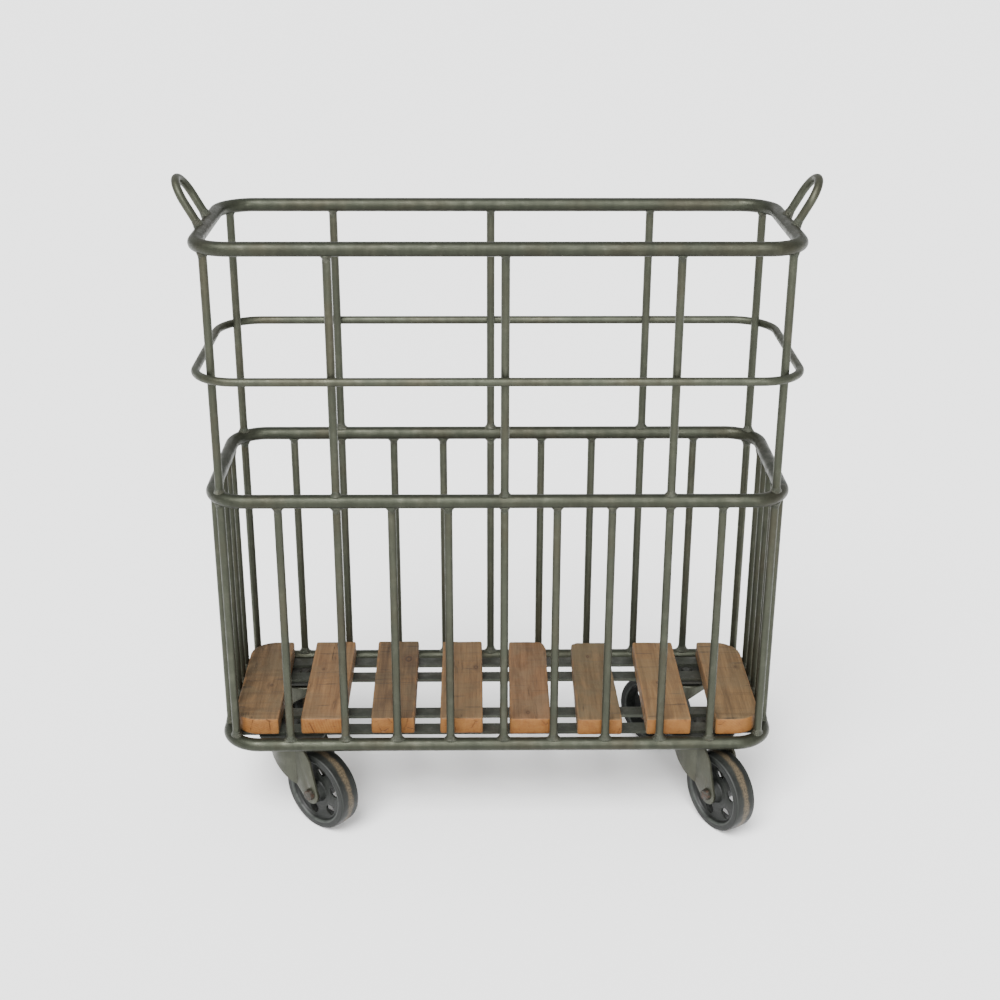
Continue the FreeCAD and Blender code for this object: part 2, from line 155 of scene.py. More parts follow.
# ---- node groups ----------------------------------------------------------------------------------
class Net:
    """Short calls for building a node tree."""

    def __init__(self, tree):
        self.tree = tree

    def put(self, kind, **values):
        node = self.tree.nodes.new(kind)
        for key, value in values.items():
            setattr(node, key, value)
        return node

    def wire(self, a, b):
        self.tree.links.new(a, b)

    def math(self, operation, a, b=0.0):
        node = self.put("ShaderNodeMath", operation=operation)
        for socket, value in zip(node.inputs, (a, b)):
            if isinstance(value, (int, float)):
                socket.default_value = value
            else:
                self.wire(value, socket)
        return node.outputs[0]

    def mix(self, factor, a, b, blend="MIX"):
        node = self.put("ShaderNodeMix", data_type="RGBA", blend_type=blend)
        for index, value in ((0, factor), (6, a), (7, b)):
            if isinstance(value, (int, float)):
                node.inputs[index].default_value = value
            elif isinstance(value, tuple):
                node.inputs[index].default_value = value if len(value) == 4 else value + (1.0,)
            else:
                self.wire(value, node.inputs[index])
        return node.outputs[2]

    def noise(self, where, scale, detail=4.0, rough=0.55, distort=0.0):
        node = self.put("ShaderNodeTexNoise")
        for key, value in (("Scale", scale), ("Detail", detail), ("Roughness", rough),
                           ("Distortion", distort)):
            if isinstance(value, (int, float)):
                node.inputs[key].default_value = value
            else:
                self.wire(value, node.inputs[key])
        self.wire(where, node.inputs["Vector"])
        return node.outputs["Fac"]

    def ranged(self, value, low, high, to_low=0.0, to_high=1.0):
        node = self.put("ShaderNodeMapRange", clamp=True, interpolation_type="SMOOTHSTEP")
        self.wire(value, node.inputs["Value"])
        for key, v in (("From Min", low), ("From Max", high), ("To Min", to_low), ("To Max", to_high)):
            if isinstance(v, (int, float)):
                node.inputs[key].default_value = v
            else:
                self.wire(v, node.inputs[key])
        return node.outputs["Result"]

    def stretched(self, where, scale, offset=(0.0, 0.0, 0.0)):
        node = self.put("ShaderNodeMapping")
        node.inputs["Scale"].default_value = scale
        node.inputs["Location"].default_value = offset
        self.wire(where, node.inputs["Vector"])
        return node.outputs[0]


def new_group(name, inputs, outputs):
    """An empty node group with named sockets: v is a vector, f a number and c a colour."""
    tree = bpy.data.node_groups.new(name, "ShaderNodeTree")
    kinds = {"v": "NodeSocketVector", "f": "NodeSocketFloat", "c": "NodeSocketColor"}
    for label, kind, value in inputs:
        socket = tree.interface.new_socket(name=label, in_out="INPUT", socket_type=kinds[kind])
        if value is not None:
            socket.default_value = value
    for label, kind in outputs:
        tree.interface.new_socket(name=label, in_out="OUTPUT", socket_type=kinds[kind])
    net = Net(tree)
    enter = net.put("NodeGroupInput")
    leave = net.put("NodeGroupOutput")
    return tree, net, enter.outputs, leave.inputs


def patina_group():
    """Blackened steel: broad warm and cool clouds, rubbed pale patches, fine pitting."""
    tree, net, given, out = new_group(
        "patina",
        [("Where", "v", None), ("Base", "c", (0.2, 0.2, 0.18, 1)), ("Warm", "c", (0.2, 0.15, 0.1, 1)),
         ("Pale", "c", (0.4, 0.4, 0.36, 1)), ("Clouds", "f", 14.0), ("Warmth", "f", 0.5), ("Rub", "f", 0.4),
         ("Pitting", "f", 1.0), ("Sheen Low", "f", 0.36), ("Sheen High", "f", 0.55)],
        [("Color", "c"), ("Roughness", "f"), ("Height", "f")],
    )
    where = given["Where"]
    clouds = net.noise(where, given["Clouds"], 5, 0.6, 0.4)
    patches = net.noise(where, 55.0, 4, 0.6)
    grit = net.noise(where, 620.0, 3, 0.6)
    streak = net.noise(net.stretched(where, (90, 90, 14)), 1.0, 3, 0.5)
    warm = net.math("MULTIPLY", net.ranged(clouds, 0.44, 0.68), given["Warmth"])
    rub = net.math("MULTIPLY", net.ranged(patches, 0.5, 0.72), given["Rub"])
    colour = net.mix(warm, given["Base"], given["Warm"])
    colour = net.mix(rub, colour, given["Pale"])
    tone = net.math("ADD", net.ranged(streak, 0.3, 0.7, 0.86, 1.1), net.ranged(grit, 0.35, 0.65, -0.07, 0.07))
    shade = net.put("ShaderNodeCombineColor")
    for i in range(3):
        net.wire(tone, shade.inputs[i])
    colour = net.mix(1.0, colour, shade.outputs[0], "MULTIPLY")
    net.wire(colour, out["Color"])
    rough = net.ranged(patches, 0.35, 0.7, given["Sheen High"], given["Sheen Low"])
    rough = net.math("ADD", rough, net.ranged(grit, 0.3, 0.7, -0.04, 0.06))
    net.wire(rough, out["Roughness"])
    pits = net.math("MULTIPLY", net.ranged(grit, 0.2, 0.8), given["Pitting"])
    dents = net.math("MULTIPLY", net.noise(where, 130.0, 3, 0.5), 1.6)
    net.wire(net.math("ADD", pits, dents), out["Height"])
    return tree


def board_group():
    """Old sawn softwood along Y: fibres, growth lines, saw marks across, cracks, a knot, orange end grain."""
    tree, net, given, out = new_group(
        "old_board",
        [("Where", "v", None), ("Facing", "v", None), ("Shift", "v", (0, 0, 0)),
         ("Pale", "c", (0.4, 0.28, 0.18, 1)),
         ("Dark", "c", (0.15, 0.1, 0.07, 1)), ("Weathered", "c", (0.25, 0.22, 0.18, 1)),
         ("End", "c", (0.6, 0.32, 0.1, 1)), ("Knot At", "v", (0, 0, 0)), ("Knot Size", "f", 0.012),
         ("Grey", "f", 0.4), ("Saw Marks", "f", 0.5), ("Cracks", "f", 0.6), ("Middle", "v", (0, 0, 0)),
         ("Half Width", "f", 0.033), ("Rubbed", "c", (0.17, 0.085, 0.030, 1))],
        [("Color", "c"), ("Roughness", "f"), ("Height", "f")],
    )
    moved = net.put("ShaderNodeVectorMath", operation="ADD")
    net.wire(given["Where"], moved.inputs[0])
    net.wire(given["Shift"], moved.inputs[1])
    where = moved.outputs[0]
    # distance from the knot bends the growth lines round it
    away = net.put("ShaderNodeVectorMath", operation="SUBTRACT")
    net.wire(given["Where"], away.inputs[0])
    net.wire(given["Knot At"], away.inputs[1])
    flat = net.put("ShaderNodeVectorMath", operation="MULTIPLY")
    flat.inputs[1].default_value = (1.0, 0.6, 0.3)
    net.wire(away.outputs[0], flat.inputs[0])
    length = net.put("ShaderNodeVectorMath", operation="LENGTH")
    net.wire(flat.outputs[0], length.inputs[0])
    reach = net.math("DIVIDE", length.outputs["Value"], given["Knot Size"])
    near = net.ranged(reach, 0.3, 3.2, 1.0, 0.0)
    knot = net.ranged(reach, 0.55, 1.05, 1.0, 0.0)
    knot_ring = net.math("SINE", net.math("MULTIPLY", reach, 11.0))
    # broad and fine figure along the board
    split = net.put("ShaderNodeSeparateXYZ")
    net.wire(where, split.inputs[0])
    wander = net.noise(net.stretched(where, (10, 2.2, 10)), 1.0, 3, 0.5)
    lines = net.math("ADD", net.math("MULTIPLY", split.outputs[0], 260.0), net.math("MULTIPLY", wander, 9.0))
    lines = net.math("ADD", lines, net.math("MULTIPLY", near, 5.0))
    growth = net.ranged(net.math("SINE", lines), -0.6, 1.0)
    fibre = net.noise(net.stretched(where, (900, 26, 900)), 1.0, 5, 0.7)
    fibre_wide = net.noise(net.stretched(where, (180, 7, 180)), 1.0, 4, 0.6)
    cloud = net.noise(where, 16.0, 4, 0.6, 0.5)
    tone = net.math("ADD", net.math("MULTIPLY", growth, 0.24),
                    net.math("MULTIPLY", net.ranged(fibre, 0.3, 0.7), 0.34))
    tone = net.math("ADD", tone, net.math("MULTIPLY", net.ranged(fibre_wide, 0.3, 0.7), 0.42))
    colour = net.mix(tone, given["Dark"], given["Pale"])
    weather = net.math("MULTIPLY", net.ranged(cloud, 0.4, 0.62), given["Grey"])
    colour = net.mix(weather, colour, given["Weathered"])
    # saw marks run across the board, and a few are deep
    saw = net.noise(net.stretched(where, (5, 125, 5)), 1.0, 3, 0.6)
    saw_wide = net.noise(net.stretched(where, (3, 70, 3)), 1.0, 3, 0.6)
    saw_dark = net.math("MULTIPLY", net.ranged(saw, 0.52, 0.64), given["Saw Marks"])
    colour = net.mix(net.math("MULTIPLY", saw_dark, 0.55), colour, given["Dark"])
    deep = net.noise(net.stretched(where, (13, 170, 13), (3.0, 1.0, 2.0)), 1.0, 1, 0.4)
    deep = net.math("MULTIPLY", net.ranged(deep, 0.66, 0.71), given["Saw Marks"])
    colour = net.mix(net.math("MULTIPLY", deep, 0.8), colour, (0.016, 0.011, 0.007))
    # stains, and the long edges rubbed pale
    stain = net.ranged(net.noise(net.stretched(where, (42, 11, 42), (5.0, 2.0, 1.0)), 1.0, 5, 0.65, 0.6),
                       0.5, 0.66)
    colour = net.mix(net.math("MULTIPLY", stain, 0.5), colour, given["Dark"])
    from_middle = net.put("ShaderNodeVectorMath", operation="SUBTRACT")
    net.wire(given["Where"], from_middle.inputs[0])
    net.wire(given["Middle"], from_middle.inputs[1])
    sides = net.put("ShaderNodeSeparateXYZ")
    net.wire(from_middle.outputs[0], sides.inputs[0])
    edge = net.math("SUBTRACT", given["Half Width"], net.math("ABSOLUTE", sides.outputs[0]))
    edge = net.math("ADD", edge, net.math("MULTIPLY", net.math("SUBTRACT", cloud, 0.5), 0.012))
    rubbed = net.math("MULTIPLY", net.ranged(edge, 0.0015, 0.0045, 1.0, 0.0),
                      net.ranged(saw_wide, 0.35, 0.6, 0.3, 1.0))
    colour = net.mix(net.math("MULTIPLY", rubbed, 0.55), colour, given["Rubbed"])
    # long drying cracks
    crack_field = net.noise(net.stretched(where, (120, 5, 120), (1.0, 4.0, 2.0)), 1.0, 4, 0.65, 0.15)
    crack_line = net.math("ABSOLUTE", net.math("SUBTRACT", crack_field, 0.5))
    crack_gate = net.ranged(net.noise(net.stretched(where, (26, 9, 26)), 1.0, 2, 0.5), 0.56, 0.66)
    crack = net.math("MULTIPLY",
                     net.math("MULTIPLY", net.ranged(crack_line, 0.004, 0.02, 1.0, 0.0), crack_gate),
                     given["Cracks"])
    colour = net.mix(crack, colour, (0.018, 0.011, 0.006))
    knot_colour = net.mix(net.ranged(knot_ring, -1.0, 1.0), (0.018, 0.010, 0.005), (0.07, 0.036, 0.016))
    colour = net.mix(net.math("MULTIPLY", knot, 0.85), colour, knot_colour)
    colour = net.mix(net.math("MULTIPLY", near, 0.35), colour, given["Dark"])
    # end grain: rings about a heart below the board
    facing = net.put("ShaderNodeSeparateXYZ")
    net.wire(given["Facing"], facing.inputs[0])
    is_end = net.ranged(net.math("ABSOLUTE", facing.outputs[1]), 0.55, 0.8)
    heart = net.put("ShaderNodeVectorMath", operation="MULTIPLY")
    heart.inputs[1].default_value = (1.0, 0.0, 1.7)
    net.wire(where, heart.inputs[0])
    rings = net.put("ShaderNodeVectorMath", operation="LENGTH")
    net.wire(heart.outputs[0], rings.inputs[0])
    ring_wander = net.math("MULTIPLY", net.noise(where, 34.0, 3, 0.5), 14.0)
    ring = net.math("SINE",
                    net.math("ADD", net.math("MULTIPLY", rings.outputs["Value"], 1500.0), ring_wander))
    end_speck = net.noise(where, 520.0, 3, 0.7)
    end_cloud = net.noise(where, 62.0, 3, 0.6)
    end_tone = net.math("ADD", net.ranged(ring, -1, 1, 0.0, 0.28), net.ranged(end_speck, 0.3, 0.7, 0.0, 0.32))
    end_tone = net.math("ADD", end_tone, net.ranged(end_cloud, 0.35, 0.7, -0.1, 0.34))
    end_colour = net.mix(end_tone, (0.160, 0.070, 0.0155), given["End"])
    check = net.put("ShaderNodeTexVoronoi", feature="DISTANCE_TO_EDGE")
    check.inputs["Scale"].default_value = 46.0
    net.wire(net.stretched(where, (1.0, 0.05, 0.55)), check.inputs["Vector"])
    end_crack = net.math("MULTIPLY", net.ranged(check.outputs["Distance"], 0.0, 0.028, 1.0, 0.0),
                         net.ranged(end_cloud, 0.5, 0.62))
    end_crack = net.math("MULTIPLY", end_crack, given["Cracks"])
    end_colour = net.mix(end_crack, end_colour, (0.055, 0.021, 0.006))
    colour = net.mix(is_end, colour, end_colour)
    net.wire(colour, out["Color"])
    rough = net.ranged(fibre_wide, 0.3, 0.7, 0.78, 0.62)
    net.wire(rough, out["Roughness"])
    height = net.math("ADD", net.math("MULTIPLY", fibre, 0.5), net.math("MULTIPLY", growth, 0.25))
    height = net.math("ADD", height, net.math("MULTIPLY", saw_wide, 0.4))
    height = net.math("SUBTRACT", height, net.math("MULTIPLY", crack, 1.6))
    height = net.math("SUBTRACT", height, net.math("MULTIPLY", deep, 1.0))
    height = net.math("SUBTRACT", height, net.math("MULTIPLY", saw_dark, 0.25))
    end_height = net.math("SUBTRACT", net.math("MULTIPLY", end_speck, 0.6),
                          net.math("MULTIPLY", end_crack, 2.0))
    both = net.put("ShaderNodeMix", data_type="FLOAT")
    net.wire(is_end, both.inputs[0])
    net.wire(height, both.inputs[2])
    net.wire(end_height, both.inputs[3])
    net.wire(both.outputs[0], out["Height"])
    return tree


def dust_group():
    """Dry dust and scuffs over a dark moulded surface."""
    tree, net, given, out = new_group(
        "scuffed",
        [("Where", "v", None), ("Base", "c", (0.02, 0.02, 0.02, 1)), ("Dust", "c", (0.2, 0.19, 0.16, 1)),
         ("Amount", "f", 0.3), ("Scale", "f", 40.0)],
        [("Color", "c"), ("Roughness", "f"), ("Height", "f")],
    )
    where = given["Where"]
    wide = net.noise(where, given["Scale"], 5, 0.65, 0.3)
    fine = net.noise(where, 480.0, 4, 0.7)
    amount = net.math("MULTIPLY", net.ranged(wide, 0.42, 0.7), given["Amount"])
    amount = net.math("MULTIPLY", amount, net.ranged(fine, 0.25, 0.7, 0.5, 1.0))
    net.wire(net.mix(amount, given["Base"], given["Dust"]), out["Color"])
    net.wire(net.ranged(wide, 0.3, 0.7, 0.42, 0.68), out["Roughness"])
    net.wire(net.math("ADD", net.math("MULTIPLY", fine, 0.5), wide), out["Height"])
    return tree


def wheel_wear_and_lip_highlight_group():
    """Painted cast wheel: tan wear round the middle of the tread, worn shoulders, a painted highlight round the
    lip, scuff rings on the web.
    """
    tree, net, given, out = new_group(
        "wheel_wear_and_lip_highlight",
        [("Where", "v", None), ("Base", "c", (0.02, 0.02, 0.02, 1)), ("Dust", "c", (0.1, 0.1, 0.1, 1)),
         ("Worn", "c", (0.3, 0.24, 0.16, 1)), ("Lip", "c", (0.2, 0.22, 0.22, 1)),
         ("Tread Radius", "f", 0.0625),
         ("Lip Radius", "f", 0.05), ("Half Width", "f", 0.0175)],
        [("Color", "c"), ("Roughness", "f"), ("Height", "f")],
    )
    where = given["Where"]
    split = net.put("ShaderNodeSeparateXYZ")
    net.wire(where, split.inputs[0])
    x, y, z = split.outputs
    radius = net.math("SQRT", net.math("ADD", net.math("MULTIPLY", x, x), net.math("MULTIPLY", z, z)))
    across = net.math("ABSOLUTE", y)
    wide = net.noise(where, 38.0, 5, 0.65, 0.3)
    fine = net.noise(where, 520.0, 4, 0.7)
    on_tread = net.ranged(net.math("SUBTRACT", given["Tread Radius"], radius), 0.0012, 0.0024, 1.0, 0.0)
    edge = net.math("ADD", across, net.math("MULTIPLY", net.math("SUBTRACT", wide, 0.5), 0.012))
    band = net.math("MULTIPLY", net.ranged(edge, 0.002, 0.0075, 1.0, 0.0), on_tread)
    band = net.math("MULTIPLY", band, net.ranged(fine, 0.35, 0.62, 0.25, 1.0))
    shoulder = net.math("SUBTRACT", given["Half Width"], across)
    on_shoulder = net.math("MULTIPLY", net.ranged(shoulder, 0.0006, 0.003, 0.5, 0.0), on_tread)
    # the pale Lip colour round the lip is a painted highlight; on the tread shoulders it is wear
    near_lip = net.math("ABSOLUTE", net.math("SUBTRACT", radius, given["Lip Radius"]))
    painted_lip_highlight = net.math("MULTIPLY", net.ranged(near_lip, 0.0008, 0.0026, 1.0, 0.0),
                      net.ranged(shoulder, 0.002, 0.004, 1.0, 0.0))
    painted_lip_highlight = net.math("MULTIPLY", painted_lip_highlight, net.ranged(wide, 0.35, 0.6, 0.35, 1.0))
    ring_place = net.put("ShaderNodeCombineXYZ")
    net.wire(net.math("MULTIPLY", radius, 330.0), ring_place.inputs[0])
    net.wire(net.math("MULTIPLY", y, 90.0), ring_place.inputs[1])
    rings = net.noise(ring_place.outputs[0], 1.0, 3, 0.6)
    dusty = net.math("MULTIPLY", net.ranged(wide, 0.4, 0.7), net.ranged(fine, 0.3, 0.7, 0.4, 1.0))
    dusty = net.math("ADD", net.math("MULTIPLY", dusty, 0.55), net.ranged(rings, 0.52, 0.72, 0.0, 0.4))
    colour = net.mix(dusty, given["Base"], given["Dust"])
    colour = net.mix(net.math("MAXIMUM", painted_lip_highlight, on_shoulder), colour, given["Lip"])
    colour = net.mix(band, colour, given["Worn"])
    net.wire(colour, out["Color"])
    net.wire(net.ranged(wide, 0.3, 0.7, 0.38, 0.6), out["Roughness"])
    height = net.math("ADD", net.math("MULTIPLY", fine, 0.5), wide)
    net.wire(net.math("SUBTRACT", height, net.math("MULTIPLY", band, 0.5)), out["Height"])
    return tree


patina = patina_group()
wheel_wear_and_lip_highlight = wheel_wear_and_lip_highlight_group()
old_board = board_group()
scuffed = dust_group()


def material(name, group, values, metallic=0.0, bump=0.0002, centre=None, turn=0.0, **shader):
    """A Principled material fed by one of the groups, whose pattern may be centred and turned."""
    made = bpy.data.materials.new(name)
    made.use_nodes = True
    tree = made.node_tree
    net = Net(tree)
    skin = tree.nodes["Principled BSDF"]
    skin.inputs["Metallic"].default_value = metallic
    for key, value in shader.items():
        skin.inputs[key.replace("_", " ")].default_value = value
    source = net.put("ShaderNodeTexCoord")
    effect = net.put("ShaderNodeGroup")
    effect.node_tree = group
    place = source.outputs["Object"]
    if centre is not None:
        move = net.put("ShaderNodeMapping", vector_type="TEXTURE")
        move.inputs["Location"].default_value = centre
        move.inputs["Rotation"].default_value = (0.0, 0.0, turn)
        net.wire(place, move.inputs["Vector"])
        place = move.outputs[0]
    net.wire(place, effect.inputs["Where"])
    if "Facing" in effect.inputs:
        net.wire(source.outputs["Normal"], effect.inputs["Facing"])
    for key, value in values.items():
        effect.inputs[key].default_value = value
    net.wire(effect.outputs["Color"], skin.inputs["Base Color"])
    net.wire(effect.outputs["Roughness"], skin.inputs["Roughness"])
    relief = net.put("ShaderNodeBump")
    relief.inputs["Strength"].default_value = 1.0
    relief.inputs["Distance"].default_value = bump
    net.wire(effect.outputs["Height"], relief.inputs["Height"])
    net.wire(relief.outputs[0], skin.inputs["Normal"])
    return made


def rgba(r, g, b):
    return (r, g, b, 1.0)


rim_steel = material("rim_patina", patina, {
    "Base": rgba(0.0284, 0.0310, 0.0215), "Warm": rgba(0.0317, 0.0270, 0.0167),
    "Pale": rgba(0.0507, 0.0516, 0.0376),
    "Clouds": 9.0, "Warmth": 0.45, "Rub": 0.35, "Sheen Low": 0.34, "Sheen High": 0.48},
    metallic=0.75, bump=0.00012, Specular_IOR_Level=0.3)
rod_steel = material("rod_patina", patina, {
    "Base": rgba(0.0415, 0.0447, 0.0318), "Warm": rgba(0.0469, 0.0396, 0.0244),
    "Pale": rgba(0.0750, 0.0754, 0.0556),
    "Clouds": 7.0, "Warmth": 0.5, "Rub": 0.3, "Sheen Low": 0.36, "Sheen High": 0.5},
    metallic=0.75, bump=0.0001, Specular_IOR_Level=0.3)
rail_steel = material("rail_patina", patina, {
    "Base": rgba(0.0298, 0.0329, 0.0245), "Warm": rgba(0.0341, 0.0279, 0.0182),
    "Pale": rgba(0.0527, 0.0546, 0.0422),
    "Clouds": 11.0, "Warmth": 0.6, "Rub": 0.4, "Sheen Low": 0.4, "Sheen High": 0.58},
    metallic=0.6, bump=0.00015)
weld_steel = material("weld_metal", patina, {
    "Base": rgba(0.0381, 0.0413, 0.0299), "Warm": rgba(0.0350, 0.0293, 0.0186),
    "Pale": rgba(0.0851, 0.0866, 0.0659),
    "Clouds": 60.0, "Warmth": 0.5, "Rub": 0.7, "Pitting": 2.0, "Sheen Low": 0.32, "Sheen High": 0.52},
    metallic=0.7, bump=0.0004)
fork_steel = material("fork_patina", patina, {
    "Base": rgba(0.0376, 0.0392, 0.0273), "Warm": rgba(0.0341, 0.0290, 0.0175),
    "Pale": rgba(0.0576, 0.0589, 0.0429),
    "Clouds": 22.0, "Warmth": 0.4, "Rub": 0.4, "Sheen Low": 0.34, "Sheen High": 0.46},
    metallic=0.6, bump=0.0001)
plate_steel = material("plate_patina", patina, {
    "Base": rgba(0.0168, 0.018, 0.0151), "Warm": rgba(0.0216, 0.0168, 0.0112),
    "Pale": rgba(0.036, 0.036, 0.0308),
    "Clouds": 20.0, "Warmth": 0.5, "Rub": 0.3, "Sheen Low": 0.4, "Sheen High": 0.6},
    metallic=0.5, bump=0.0001)
axle_steel = material("rusty_bolt", patina, {
    "Base": rgba(0.031, 0.0282, 0.0224), "Warm": rgba(0.0527, 0.0216, 0.0101),
    "Pale": rgba(0.062, 0.057, 0.0448),
    "Clouds": 120.0, "Warmth": 0.8, "Rub": 0.4, "Pitting": 1.6, "Sheen Low": 0.4, "Sheen High": 0.62},
    metallic=0.6, bump=0.0002)
zinc = material("dull_zinc", patina, {
    "Base": rgba(0.096, 0.096, 0.084), "Warm": rgba(0.072, 0.06, 0.0392), "Pale": rgba(0.156, 0.156, 0.14),
    "Clouds": 80.0, "Warmth": 0.3, "Rub": 0.5, "Sheen Low": 0.3, "Sheen High": 0.45},
    metallic=0.9, bump=0.00008)
ball_steel = material("ball_steel", patina, {
    "Base": rgba(0.33, 0.33, 0.33), "Warm": rgba(0.24, 0.21, 0.18), "Pale": rgba(0.42, 0.42, 0.42),
    "Clouds": 80.0, "Warmth": 0.2, "Rub": 0.2, "Sheen Low": 0.15, "Sheen High": 0.25},
    metallic=1.0, bump=0.00002)
wheel_black = material("wheel_black", scuffed, {
    "Base": rgba(0.011, 0.013, 0.0135), "Dust": rgba(0.06, 0.065, 0.0625), "Amount": 0.45, "Scale": 36.0},
    bump=0.0002)

board_looks = (
    dict(Pale=(0.132, 0.077, 0.033), Dark=(0.049, 0.028, 0.012), Weathered=(0.074, 0.053, 0.027),
         End=(0.092, 0.030, 0.003),
         knot=(0.012, -0.02), size=0.004, Grey=0.7, Saw_Marks=0.7, Cracks=0.9),
    dict(Pale=(0.165, 0.090, 0.036), Dark=(0.071, 0.036, 0.015), Weathered=(0.097, 0.064, 0.032),
         End=(0.103, 0.033, 0.004),
         knot=(-0.012, 0.03), size=0.003, Grey=0.5, Saw_Marks=0.55, Cracks=0.8),
    dict(Pale=(0.107, 0.062, 0.026), Dark=(0.035, 0.019, 0.009), Weathered=(0.058, 0.041, 0.021),
         End=(0.101, 0.034, 0.005),
         knot=(0.018, 0.062), size=0.010, Grey=0.6, Saw_Marks=0.6, Cracks=0.7),
    dict(Pale=(0.139, 0.078, 0.032), Dark=(0.057, 0.031, 0.013), Weathered=(0.081, 0.056, 0.027),
         End=(0.103, 0.036, 0.006),
         knot=(0.022, 0.035), size=0.006, Grey=0.5, Saw_Marks=0.5, Cracks=0.5),
    dict(Pale=(0.146, 0.075, 0.032), Dark=(0.060, 0.030, 0.012), Weathered=(0.097, 0.067, 0.036),
         End=(0.098, 0.030, 0.004),
         knot=(-0.004, -0.105), size=0.005, Grey=0.5, Saw_Marks=0.3, Cracks=0.5,
         chipped=((1, 9, 12), (1, 5, 22))),
    dict(Pale=(0.116, 0.070, 0.030), Dark=(0.047, 0.029, 0.012), Weathered=(0.068, 0.051, 0.026),
         End=(0.089, 0.028, 0.003),
         knot=(-0.006, 0.075), size=0.004, Grey=0.7, Saw_Marks=0.35, Cracks=0.5,
         chipped=((-1, 14, 9), (-1, 6, 20), (1, 7, 6))),
    dict(Pale=(0.159, 0.091, 0.036), Dark=(0.068, 0.037, 0.015), Weathered=(0.097, 0.068, 0.032),
         End=(0.107, 0.038, 0.006),
         knot=(-0.006, -0.012), size=0.0035, Grey=0.5, Saw_Marks=0.6, Cracks=0.5),
    dict(Pale=(0.139, 0.081, 0.033), Dark=(0.055, 0.032, 0.013), Weathered=(0.088, 0.063, 0.032),
         End=(0.115, 0.041, 0.007),
         knot=(0.02, 0.04), size=0.003, Grey=0.5, Saw_Marks=0.9, Cracks=0.4),
)

# ---- floor boards ---------------------------------------------------------------------------------
lay = random.Random(7)


def cloud_pattern(name, size, depth):
    """Cloudy bumps of a given size, for displacing a surface."""
    made = bpy.data.textures.new(name, "CLOUDS")
    made.noise_scale = size
    made.noise_depth = depth
    return made


board_sway = cloud_pattern("board_sway", 0.05, 1)
board_grain = cloud_pattern("board_grain", 0.006, 2)
board_chip = cloud_pattern("board_chip", 0.018, 3)
weld_lumps = cloud_pattern("weld_lumps", 0.004, 2)


def ripple(obj, texture, depth, stretch=(1, 1, 1), shift=(0, 0, 0)):
    """Pushes the surface in and out by a cloudy pattern, stretched along an axis."""
    guide = bpy.data.objects.new("guide", None)
    bpy.context.scene.collection.objects.link(guide)
    guide.scale = stretch
    guide.location = shift
    bpy.context.view_layer.update()
    finish_with(obj, "DISPLACE", texture=texture, texture_coords="OBJECT", texture_coords_object=guide,
                strength=depth, mid_level=0.5, direction="NORMAL")
    bpy.data.objects.remove(guide)


def floor_board(index):
    """A slat with an uneven sawn surface, any chipped corners and its own wood."""
    node = "slat_%d" % (index + 1)
    low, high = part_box(node)
    middle = (low + high) / 2
    look = board_looks[index]
    copy = bpy.data.objects.new("board_%d" % (index + 1), nodes[node].data.copy())
    bpy.context.scene.collection.objects.link(copy)
    pick(copy)
    if copy.data.has_custom_normals:
        bpy.ops.mesh.customdata_custom_splitnormals_clear()
    bpy.ops.object.mode_set(mode="EDIT")
    bpy.ops.mesh.select_all(action="SELECT")
    bpy.ops.mesh.remove_doubles(threshold=0.001 * MM)
    for away_x, size_x, size_y in look.get("chipped", ()):
        corner = Vector((high.x if away_x > 0 else low.x, high.y, middle.z))
        bpy.ops.mesh.select_all(action="SELECT")
        bpy.ops.mesh.bisect(plane_co=corner - Vector((away_x * size_x * MM, 0, 0)), use_fill=True,
                            clear_outer=True,
                            plane_no=Vector((away_x / size_x, 1 / size_y, 0)).normalized())
    bpy.ops.object.mode_set(mode="OBJECT")
    finish_with(copy, "REMESH", mode="VOXEL", voxel_size=board_voxel, use_smooth_shade=True)
    finish_with(copy, "SMOOTH", factor=0.5, iterations=2)
    offset = (lay.uniform(-1, 1), lay.uniform(-1, 1), lay.uniform(-1, 1))
    ripple(copy, board_sway, 1.1 * MM, (1, 3, 1), offset)
    ripple(copy, board_grain, 0.35 * MM, (0.6, 9, 0.6), offset)
    ripple(copy, board_chip, 0.5 * MM, (1, 1.5, 1), offset)
    # kept within the sawn size
    for v in copy.data.vertices:
        v.co.x = min(max(v.co.x, low.x), high.x)
        v.co.y = min(max(v.co.y, low.y), high.y)
        v.co.z = min(max(v.co.z, low.z), high.z)
    values = {"Shift": offset}
    for key in ("Pale", "Dark", "Weathered", "End"):
        values[key] = look[key] + (1.0,)
    for key in ("Grey", "Saw_Marks", "Cracks"):
        values[key.replace("_", " ")] = look[key]
    values["Knot At"] = (middle.x + look["knot"][0], middle.y + look["knot"][1], high.z)
    values["Knot Size"] = look["size"]
    values["Middle"] = middle
    values["Half Width"] = (high.x - low.x) / 2
    copy.data.materials.clear()
    copy.data.materials.append(material("board_wood_%d" % (index + 1), old_board, values, bump=0.0006,
                                        Specular_IOR_Level=0.3))
    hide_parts(node)
    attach(copy, "rack")


for index in range(8):
    floor_board(index)

# ---- welds ----------------------------------------------------------------------------------------


